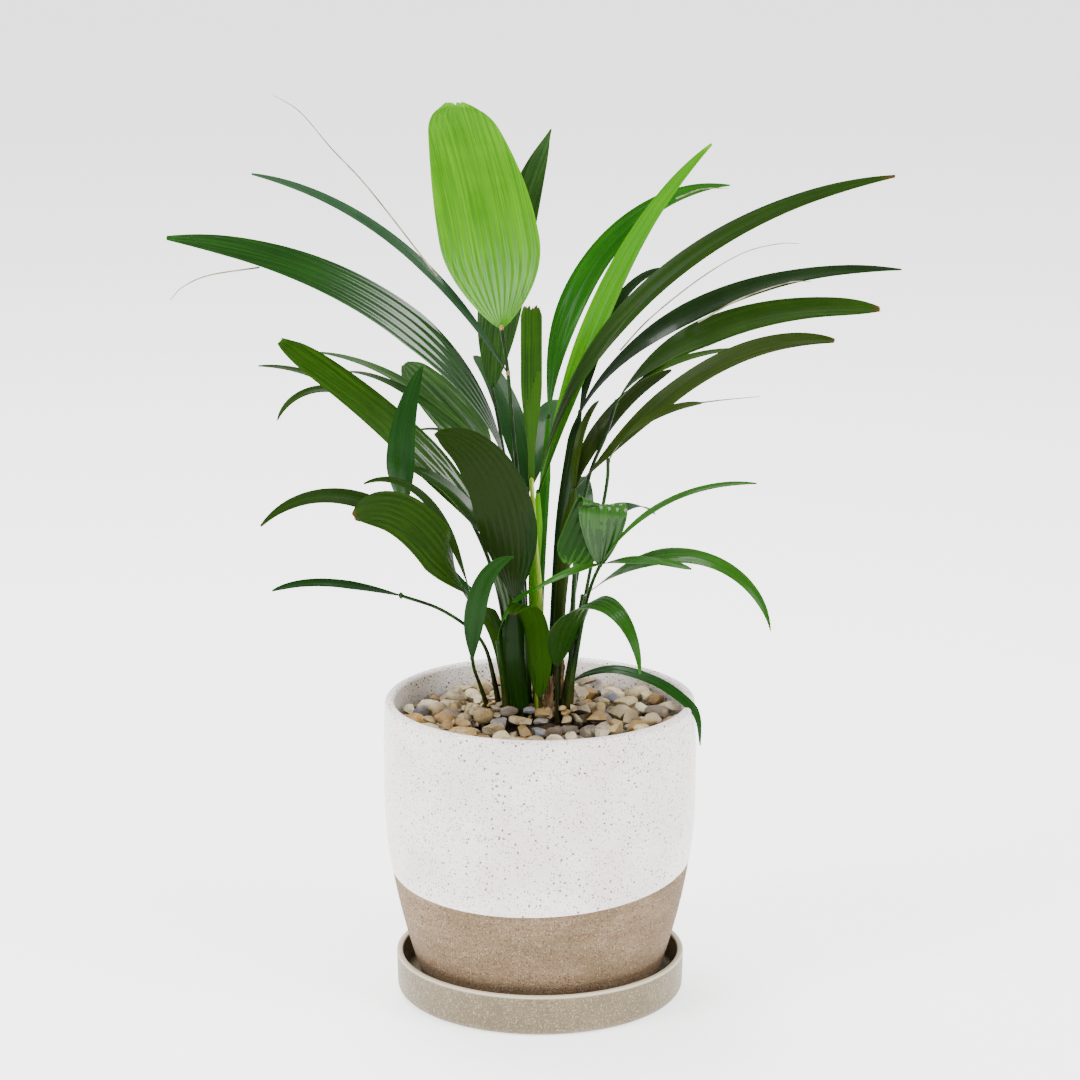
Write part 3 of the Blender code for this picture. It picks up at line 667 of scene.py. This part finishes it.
def stalk_finish(name, dark, light, spot):
    stalk = Finish(name, Coat_Roughness=0.3, Coat_Weight=0.03, Specular_IOR_Level=0.1)
    streak = stalk.noise(stalk.stretch(900, 900, 45), 1.0, 3.0)
    patch = stalk.noise(stalk.stretch(120, 120, 25), 1.0, 3.0)
    height = stalk.node("ShaderNodeSeparateXYZ", (), {0: stalk.place}, out="Z")
    colour = stalk.mix(stalk.ramp(streak, 0.35, 0.7), paint(dark), paint(light))
    colour = stalk.mix(stalk.ramp(patch, 0.48, 0.62, 0.0, 0.85), colour, paint(spot))
    low = stalk.ramp(height, GRAVEL_Z, GRAVEL_Z + 40 * MM, 0.7, 0.0)
    colour = stalk.mix(low * stalk.ramp(streak, 0.4, 0.6), colour, paint("#3A2610"))
    stalk.bump(streak, 0.15 * MM)
    return stalk.surface(Base_Color=colour, Roughness=stalk.ramp(streak, 0.3, 0.7, 0.32, 0.55))


def knob_finish():
    knob = Finish("knob_cork", Roughness=0.8)
    cork = knob.noise(knob.place, 1400.0, 3.0)
    colour = knob.mix(knob.ramp(cork, 0.3, 0.7), paint("#5B3F1E"), paint("#A88A52"))
    knob.bump(cork, 0.3 * MM)
    return knob.surface(Base_Color=colour)


def leaf_finish(name, deep, light, back, dry=None, gloss=0.05, shine=(0.3, 0.75)):
    """Leaf skin: fine veins and soft streaks along the blade, a back of its own colour (paler in most
    finishes, but darker as painted shade where a finish gives it so) and perhaps a dry tip.
    """
    skin = Finish(name, Coat_Roughness=0.16, Specular_IOR_Level=0.06)
    along, across, reach, edge, tint, under = (
        skin.node("ShaderNodeAttribute", {"attribute_name": layer}, out="Fac")
        for layer in LEAF_LAYERS)
    blade_place = skin.node("ShaderNodeCombineXYZ", (), {0: across, 1: along, 2: tint * 0.3})
    vein = skin.noise(skin.stretch(2400, 22, 9, blade_place), 1.0, 2.0, 0.6)
    streak = skin.noise(skin.stretch(500, 7, 9, blade_place), 1.0, 3.0, 0.6)
    mottle = skin.noise(skin.place, 55.0, 4.0, 0.6)
    shade = skin.ramp(streak * 0.4 + mottle * 0.35 + tint * 0.4, 0.3, 0.85)
    colour = skin.mix(shade, paint(deep), paint(light))
    colour = skin.mix(skin.ramp(vein, 0.42, 0.62, 0.0, 0.75), colour, paint(deep))
    # The back's own colour. Where a finish gives it darker than the face, it is painted shade on the
    # undersides.
    colour = skin.mix(under * 0.8, colour, paint(back))
    colour = skin.mix(skin.ramp(edge, 0.93, 1.0, 0.0, 0.3), colour, paint(light))
    worn = skin.ramp(reach + mottle * 0.06 + streak * 0.05, 1.03, 1.06)
    colour = skin.mix(worn * 0.85, colour, paint(dry or light))
    skin.bump(vein * 0.8 + streak, 0.2 * MM)
    wax = skin.ramp(reach, *shine, gloss, 0.15 * gloss)
    return skin.surface(Base_Color=colour, Coat_Weight=wax, Roughness=skin.ramp(mottle, 0.3, 0.7, 0.4, 0.6))


def thread_finish():
    thread = Finish("dry_thread", Roughness=0.8)
    run = thread.noise(thread.place, 160.0, 3.0)
    colour = thread.mix(thread.ramp(run, 0.35, 0.65), paint("#4A4A34"), paint("#8C8468"))
    return thread.surface(Base_Color=colour)


dry_thread = thread_finish()
stalk_skin = stalk_finish("stalk_skin", "#0F2606", "#1F3F0C", "#0A1206")
knob_cork = knob_finish()


def leaf_form():
    form = bmesh.new()
    for layer in LEAF_LAYERS:
        form.verts.layers.float.new(layer)
    return form


def sheath(form, path, low, high, facing):
    """The strap that a leaf's foot spreads into: it wraps the stalk, and widens from low to high."""
    rows = len(path) - 1
    out = Vector((cos(radians(facing)), sin(radians(facing)), 0))
    side = Vector((-out.y, out.x, 0))
    layers = form.verts.layers.float

    def place(vert, row, u):
        share = row / rows
        wide = 0.5 * (low + (high - low) * share ** 1.2) * min(1, 3 * (1 - share) + 0.25)
        vert[layers["along"]] = share * 0.08
        vert[layers["across"]] = u * wide
        vert[layers["reach"]] = 0.4
        vert[layers["edge"]] = abs(u)
        vert[layers["tint"]] = 0.7
        return path[row] + side * u * wide + out * (1.3 * MM - 0.5 * wide * u * u)

    _, faces = sheet(form, rows, 8, place)
    bmesh.ops.solidify(form, geom=faces, thickness=BLADE_THICKNESS)


def leaf(node, stems, blades, finish, ripe=False, stem=None, girth=1.0, wrap=None, outline=blade_width,
         older=(), older_finish=None, threads=(), fold=None):
    """One leaf: a stalk through stems, then blades that start from a point of the stalk.

    A blade is (stalk point, facing, length, launch, land, bend, width, roll, tip, ribs) in mm and degrees.
    The older blades have a finish of their own. A thread is the points of a dry fibre, split off a blade.
    A fold is (points from the knob, width, tip, ribs) of one more blade, which hangs folded over.
    wrap is (width low, width high, facing) of the sheath at the foot, and a ripe leaf has corky knobs.
    """
    form = leaf_form()
    foot = Vector((stems[0][0] * MM, stems[0][1] * MM, STALK_FOOT_Z))
    points = [foot] + [at(*point) for point in stems[1:]]
    run = through(points, 12)
    tube(form, run, lambda share: girth * (0.85 + 0.75 * max(0, 1 - 2 * share) ** 1.5) * MM, 10, STALK)
    if wrap:
        sheath(form, run, wrap[0] * MM, wrap[1] * MM, wrap[2])
    for start in sorted({row[0] for row in blades}):
        knob = bmesh.ops.create_icosphere(form, subdivisions=2, radius=KNOB_R)["verts"]
        for vert in knob:
            x, y, z = vert.co
            vert.co = Vector((x * KNOB_FLATNESS, y * KNOB_FLATNESS, z)) + points[start]
            for face in vert.link_faces:
                face.material_index = CORK if ripe else STALK
    dice = Random(node)
    for i, (start, facing, length, launch, land, bend, width, roll, tip, ribs) in enumerate(blades):
        path = arch(points[start], facing, length, launch, land, bend)
        blade(form, path, width * MM, roll, tip, ribs, dice.uniform(0.25, 0.75), outline,
              OLDER if i in older else SKIN)
    if fold:
        spots, width, tip, ribs = fold
        path = through([points[-1] + Vector(spot) * MM for spot in spots], 9)
        blade(form, path, width * MM, 0, tip, ribs, 0.6, outline, SKIN, FOLD_LEVEL)
    for thread in threads:
        fibre = through([at(*point) for point in thread], 6)
        tube(form, fibre, lambda share: (0.45 - 0.3 * share) * MM, 5, THREAD)
    bmesh.ops.recalc_face_normals(form, faces=form.faces)
    finishes = [finish, stem or stalk_skin, knob_cork, dry_thread, older_finish or finish]
    piece(node.replace("leaf_", "") + "_frond", form, finishes, "leaf", node, sharp=60)


young = leaf_finish("young_leaf", "#285F00", "#508C00", "#3C6A00", gloss=0.35, shine=(0.06, 0.38))
greyed = leaf_finish("greyed_leaf", "#18301A", "#2E4A30", "#243C24", gloss=0.2)
pale_stem = stalk_finish("pale_stem", "#6E8A20", "#A8B84C", "#55781A")
leaf("leaf_top", [(-5, 6), (-9, 3, 96), (-13, 0, 143), (-15, -2, 168), (-18, 0, 189)],
     [(-1, 111, 119, 74, 40, 1.0, 50, 0, 0.55, 11), (-2, 172, 156, 58, 10, 1.3, 5.5, -50, 0.4, 1)], young,
     ripe=True, older=(1,), older_finish=greyed,
     threads=[[(-48, -2, 214), (-79, -4, 255), (-96, -6, 274), (-110, -8, 291), (-122, -10, 299)]])
shaded = leaf_finish("shaded_leaf", "#0A2402", "#2E5018", "#2C4A1C")
leaf("leaf_top_back", [(-8, 13), (-15, 20, 102), (-19, 24, 134), (-23, 28, 155)],
     [(-1, 59, 132, 84, 46, 1.0, 25, 0, 0.1, 3)], shaded)

# Spear
# The next leaf, still folded shut into a flat upright spear with a bitten-off, brownish tip. It grows
# from the middle of the clump on a pale stem, and its three pleats have not parted yet.

folded_skin = leaf_finish("folded_leaf", "#0A2200", "#244A00", "#224200", dry="#3E2814")


def spear_width(share, width, tip):
    """Hardly wider than its stem at first, then it swells into a club, and keeps its width to the top."""
    swell = min(1, max(0, (share - 0.12) / 0.45))
    end = max(tip, sqrt(1 - max(0, (min(share, 1) - 0.93) / 0.08) ** 2))
    return end * width * (0.32 + 0.68 * swell ** 2 * (3 - 2 * swell))


leaf("leaf_spear", [(-1, -3.5), (0, -8, 60), (-2, -9, 87), (-4, -10, 118)],
     [(-1, 90, 84, 92, 88, 1.0, 10, 0, 0.7, 3)], folded_skin, girth=1.25, outline=spear_width,
     stem=pale_stem)

# Right-hand leaves
# Long narrow straps that arch out to the right, bright where they are young and dark or olive where
# they are old, with drawn-out tips.

bright = leaf_finish("bright_leaf", "#0C3A00", "#226000", "#1A4C00")
fresh = leaf_finish("fresh_leaf", "#2A6600", "#508A00", "#326800")
deep = leaf_finish("deep_leaf", "#042400", "#0C3C00", "#0C3000", gloss=0.1)
olive = leaf_finish("olive_leaf", "#122000", "#263800", "#223200", dry="#46300F")
khaki = leaf_finish("khaki_leaf", "#102400", "#203C00", "#1C3400", dry="#46300F")
dusky = leaf_finish("dusky_leaf", "#061800", "#102C02", "#0E2204", gloss=0.12)
leaf("leaf_crest", [(0, 10), (0, 14, 54), (2, 14, 104), (4, 14, 143)],
     [(-1, 25, 160, 88, -5, 1.3, 13, 50, 0.12, 3)], bright, wrap=(3, 6, -90),
     threads=[[(64, 26, 246), (76, 29, 250), (89, 32, 250)]])
leaf("leaf_reach_right", [(-1, 5), (-3, 2, 57), (-2, 3, 86), (-1, 4, 109)],
     [(-1, 15, 186, 73, 40, 2.2, 12, 50, 0.25, 3), (-1, -12, 243, 85, 10, 0.8, 10, 72, 0.3, 2)], fresh,
     wrap=(4, 7, -90), older=(1,), older_finish=khaki)
leaf("leaf_dark_right", [(4, 14), (8, 18, 73), (11, 20, 102), (16, 21, 131), (19, 22, 144)],
     [(-1, 12, 179, 67, -5, 0.6, 11, 45, 0.15, 1), (-1, 35, 88, 76, 0, 2.2, 6, 45, 0.3, 1)], dusky,
     wrap=(3, 7, -85),
     threads=[[(38, 22, 174), (52, 24, 189), (75, 28, 207), (96, 32, 219), (113, 35, 223),
               (123, 36, 223)],
              [(74, 4, 191), (94, 0, 203), (115, -4, 211), (126, -6, 212)]])
leaf("leaf_olive_right", [(14, 11), (17, 9, 75), (23, 10, 114), (31, 11, 135), (36, 12, 151)],
     [(-1, -5, 138, 64, -5, 0.6, 14, 55, 0.5, 1), (-1, -20, 70, 52, 5, 0.8, 4, 40, 0.3, 1)], khaki)
leaf("leaf_middle_right", [(7, 2), (10, 3, 57), (13, 4, 86), (16, 5, 110)],
     [(-1, -15, 152, 49, -5, 2.2, 11, 55, 0.5, 1), (-1, 44, 86, 82, 10, 0.6, 8, 50, 0.3, 1),
      (-1, 65, 52, 97, 10, 1.0, 4, 30, 0.3, 1)], olive, wrap=(4, 9, -80),
     threads=[[(75, 20, 149), (88, 23, 150), (105, 26, 151)]])
leaf("leaf_slim_right", [(14, -2), (17, -3, 34), (23, -5, 69), (31, -7, 113), (32, -8, 127)],
     [(-1, -30, 61, 64, 10, 0.8, 6, 40, 0.4, 1)], olive)

# Front leaves
# Shorter leaves that bow over towards the front: one hangs in a fold and two hook over near the gravel.
# A broad bronzed one stands before the clump. They grew as the others did, with duller, frosted skin.

bronze = leaf_finish("bronzed_leaf", "#061A00", "#102C00", "#142400", gloss=0.08)
# Its back colour is darker than its face: painted shade for the undersides that hang in shadow, not the
# leaf's own colour.
frosted = leaf_finish("frosted_leaf", "#123800", "#2A5810", "#0C2C00", gloss=0.45)


def hooked_width(share, width, tip):
    """Broadest low down, then it narrows steadily to a point."""
    if share < 0.22:
        return ROOT_WIDTH + (width - ROOT_WIDTH) * sin(pi / 2 * share / 0.22) ** 0.8
    return width * (1 - (1 - tip) * (share - 0.22) / 0.78)


leaf("leaf_folded", [(12, -5.5), (20, -12, 50), (24, -25, 71), (28, -36, 84)],
     [(-1, -15, 89, 61, 0, 1.0, 4, 40, 0.3, 1),
      (-1, -40, 54, 22, -5, 0.8, 5, 30, 0.4, 1), (-1, 215, 37, 7, -20, 0.6, 4, -30, 0.3, 1)], frosted,
     fold=([(0, 0, 0), (0.5, 0, 9), (1, 0, 18), (1.2, 0.3, 25), (0.9, 2, 28), (-1.4, 4, 25.5), (-5, 5, 18),
            (-8.3, 5.6, 10.5), (-11.3, 6, 4), (-14, 6, -2)], 23, 0.8, 6))
leaf("leaf_grey", [(10, -1), (15, -4, 34), (20, -8, 61)],
     [(-1, -25, 117, 40, -80, 1.7, 9, 40, 0.15, 1)], frosted)
leaf("leaf_hooked", [(8, -9), (8, -10, 10), (8, -10, 28)],
     [(-1, -58, 105, 75, -85, 1.4, 21, 15, 0.05, 5)], frosted, outline=hooked_width)
leaf("leaf_short", [(-1, -9), (0, -9, 6), (0, -9, 12)],
     [(-1, 243, 68, 88, -40, 3.0, 14, 0, 0.6, 3)], folded_skin)
leaf("leaf_front_left", [(-24, 4), (-28, -8, 16), (-31, -18, 28), (-32, -25, 36)],
     [(-1, -46, 66, 90, 15, 1.7, 10, -50, 0.2, 2)], deep)
leaf("leaf_curled", [(-16, -7), (-20, -16, 41)], [(-1, -20, 38, 88, 20, 1.0, 3.5, 40, 0.3, 1)], bright)
leaf("leaf_broad_front", [(-8, -8), (-12, -12, 30), (-12, -12, 61)],
     [(-1, 223, 108, 88, 15, 1.7, 28, 50, 0.35, 8)], bronze, wrap=(8, 12, -75))

# Left-hand leaves
# Broad glossy straps to the left, the oldest and darkest of the plant, and a few thin ones low down.

glossy = leaf_finish("glossy_leaf", "#062200", "#123E00", "#12380C", gloss=0.9)
waxed = leaf_finish("waxed_leaf", "#102A00", "#264800", "#264000", gloss=0.6)
leaf("leaf_low_left", [(-19, 5), (-22, 3, 17), (-26, 2, 33), (-33, 0, 43), (-48, -3, 54), (-66, -5, 61)],
     [(-1, 190, 62, 16, -20, 2.2, 5, -40, 0.4, 1)], deep)
leaf("leaf_strap", [(-13, -4), (-18, -8, 35), (-24, -12, 53), (-31, -14, 59)],
     [(-1, 205, 134, 55, -45, 2.2, 9, -70, 0.25, 1), (-1, 222, 97, 55, -20, 3.0, 26, -78, 0.4, 7),
      (-1, 192, 90, 73, -25, 3.0, 5, -60, 0.3, 1)], khaki, wrap=(6, 12, -70), stem=pale_stem)
leaf("leaf_upright_left", [(-14, 2), (-24, -2, 48), (-40, -6, 71), (-55, -9, 85), (-62, -10, 95)],
     [(-1, 0, 80, 105, 65, 1.0, 14, 75, 0.2, 2)], deep, wrap=(3, 6, -90))
leaf("leaf_broad_left", [(-10, -2), (-13, -2, 48), (-17, -2, 68), (-20, -2, 82)],
     [(-1, 168, 145, 64, 30, 0.6, 17, -55, 0.6, 4), (-1, 184, 60, 58, 15, 2.2, 9, -50, 0.3, 1)], waxed,
     wrap=(6, 12, -90))
leaf("leaf_long_left", [(-7, 2), (-10, 2, 57), (-13, 2, 91), (-16, 2, 120)],
     [(-1, 185, 207, 88, 5, 0.6, 19, -55, 0.3, 5)], glossy, wrap=(5, 11, -80),
     threads=[[(-130, -8, 219), (-153, -12, 216), (-165, -14, 211), (-171, -15, 205)]])
leaf("leaf_back_left", [(-12, 11), (-14, 16, 53), (-19, 21, 92), (-24, 25, 123)],
     [(-1, 125, 81, 28, 20, 0.8, 21, -40, 0.5, 5), (-1, 150, 107, 40, 0, 1.3, 5, -30, 0.3, 1),
      (-1, 165, 80, 37, 0, 3.0, 5, -30, 0.3, 1)], shaded)
leaf("leaf_forked_left", [(-14, 8), (-19, 12, 54), (-33, 18, 92), (-52, 24, 118), (-67, 27, 129)],
     [(-1, 160, 83, 52, -5, 1.0, 4, -40, 0.3, 1), (-1, 190, 75, 58, -70, 1.7, 5, -40, 0.4, 1)], khaki)

# Back leaves
# The far side of the clump, with leaves of three and two blades that bow over to the back. They grew
# from the same crown, on stalks that start behind the others.

leaf("leaf_back", [(-2, 16), (-4, 26, 58), (-6, 34, 103)],
     [(-1, 75, 95, 55, -20, 1.0, 15, 0, 0.3, 1), (-1, 108, 105, 60, 0, 1.0, 14, 0, 0.3, 1),
      (-1, 145, 80, 50, -20, 1.0, 10, 0, 0.3, 1)], deep)
leaf("leaf_back_low", [(3, 17), (14, 27, 40), (20, 34, 73)],
     [(-1, 92, 85, 55, -30, 1.0, 14, 0, 0.3, 1), (-1, 55, 70, 45, -35, 1.0, 10, 10, 0.3, 1)], deep)

# Leaf over the rim
# A slim leaf that rises from the right of the clump, bows low over the stones and hangs outside the rim,
# which it clears by its own springiness.


def rim_leaf():
    form = leaf_form()
    hub = at(12, 8, 11)
    foot = Vector((9 * MM, 5 * MM, STALK_FOOT_Z))
    ahead = Vector((cos(radians(-23)), sin(radians(-23)), 0))
    along = Vector((hub.x, hub.y, 0)).dot(ahead)
    reach = (sqrt(BELLY_R ** 2 - hub.x ** 2 - hub.y ** 2 + along ** 2) - along) / MM
    rise = (RIM_Z - hub.z) / MM + 1.6
    shape = [(0, 0), (0.14 * reach, 8), (0.4 * reach, 13), (0.72 * reach, 9), (reach - 3, rise),
             (reach + 2.2, rise - 7), (reach + 3.5, rise - 20)]
    path = through([hub + ahead * out * MM + Vector((0, 0, up * MM)) for out, up in shape], 7)
    tube(form, through([foot, (foot + hub) / 2, hub], 8), lambda share: (1.3 - 0.4 * share) * MM, 10, STALK)
    blade(form, path, 6.5 * MM, 25, 0.3, 2, 0.6)
    bmesh.ops.recalc_face_normals(form, faces=form.faces)
    piece("rim_frond", form, [deep, stalk_skin], "leaf", "leaf_over_rim", sharp=60)


rim_leaf()

# Studio
# The camera stands a little above the pot's rim, in front. Large soft lights stand to the left and
# right, over a pale floor that runs out to the pale surroundings.

AIM = Vector((0, 0, 0.2239))
CAMERA_AWAY = 1.744
CAMERA_UP = radians(13.8)
lens = bpy.data.cameras.new("camera")
lens.lens = 122.6
lens.sensor_width = 36
camera = bpy.data.objects.new("camera", lens)
bpy.context.scene.collection.objects.link(camera)
camera.location = AIM + CAMERA_AWAY * Vector((0, -cos(CAMERA_UP), sin(CAMERA_UP)))
camera.rotation_euler = (AIM - camera.location).to_track_quat("-Z", "Y").to_euler()
bpy.context.scene.camera = camera


def soft_light(name, spot, width, power):
    """A square light of that width in metres and power in watts, turned to the plant."""
    made = bpy.data.lights.new(name, "AREA")
    made.size = width
    made.energy = power
    lamp = bpy.data.objects.new(name, made)
    bpy.context.scene.collection.objects.link(lamp)
    lamp.location = spot
    lamp.rotation_euler = (Vector((0, 0, 0.2)) - lamp.location).to_track_quat("-Z", "Y").to_euler()


soft_light("key_light", Vector((-1.5, -1.0, 1.3)), 0.9, 55)
soft_light("fill_light", Vector((1.4, -0.95, 1.35)), 1.0, 52)
soft_light("top_light", Vector((-0.3, 0.7, 1.9)), 0.9, 55)

sky = bpy.data.worlds.new("pale_room")
sky.use_nodes = True
sky.node_tree.nodes["Background"].inputs["Color"].default_value = (1.0, 1.0, 1.0, 1.0)
sky.node_tree.nodes["Background"].inputs["Strength"].default_value = 0.95
bpy.context.scene.world = sky

ground = bmesh.new()
bmesh.ops.create_grid(ground, x_segments=1, y_segments=1, size=6.0)
floor_mesh = bpy.data.meshes.new("floor")
ground.to_mesh(floor_mesh)
ground.free()
floor_piece = bpy.data.objects.new("floor", floor_mesh)
bpy.context.scene.collection.objects.link(floor_piece)
pale = Finish("pale_floor", Roughness=0.9, Emission_Color=(1.0, 1.0, 1.0, 1.0), Emission_Strength=1.5)
tone = pale.noise(pale.place, 2.0, 2.0)
floor_mesh.materials.append(pale.surface(Base_Color=pale.mix(tone, paint("#F4F4F3"), paint("#FAFAF9"))))
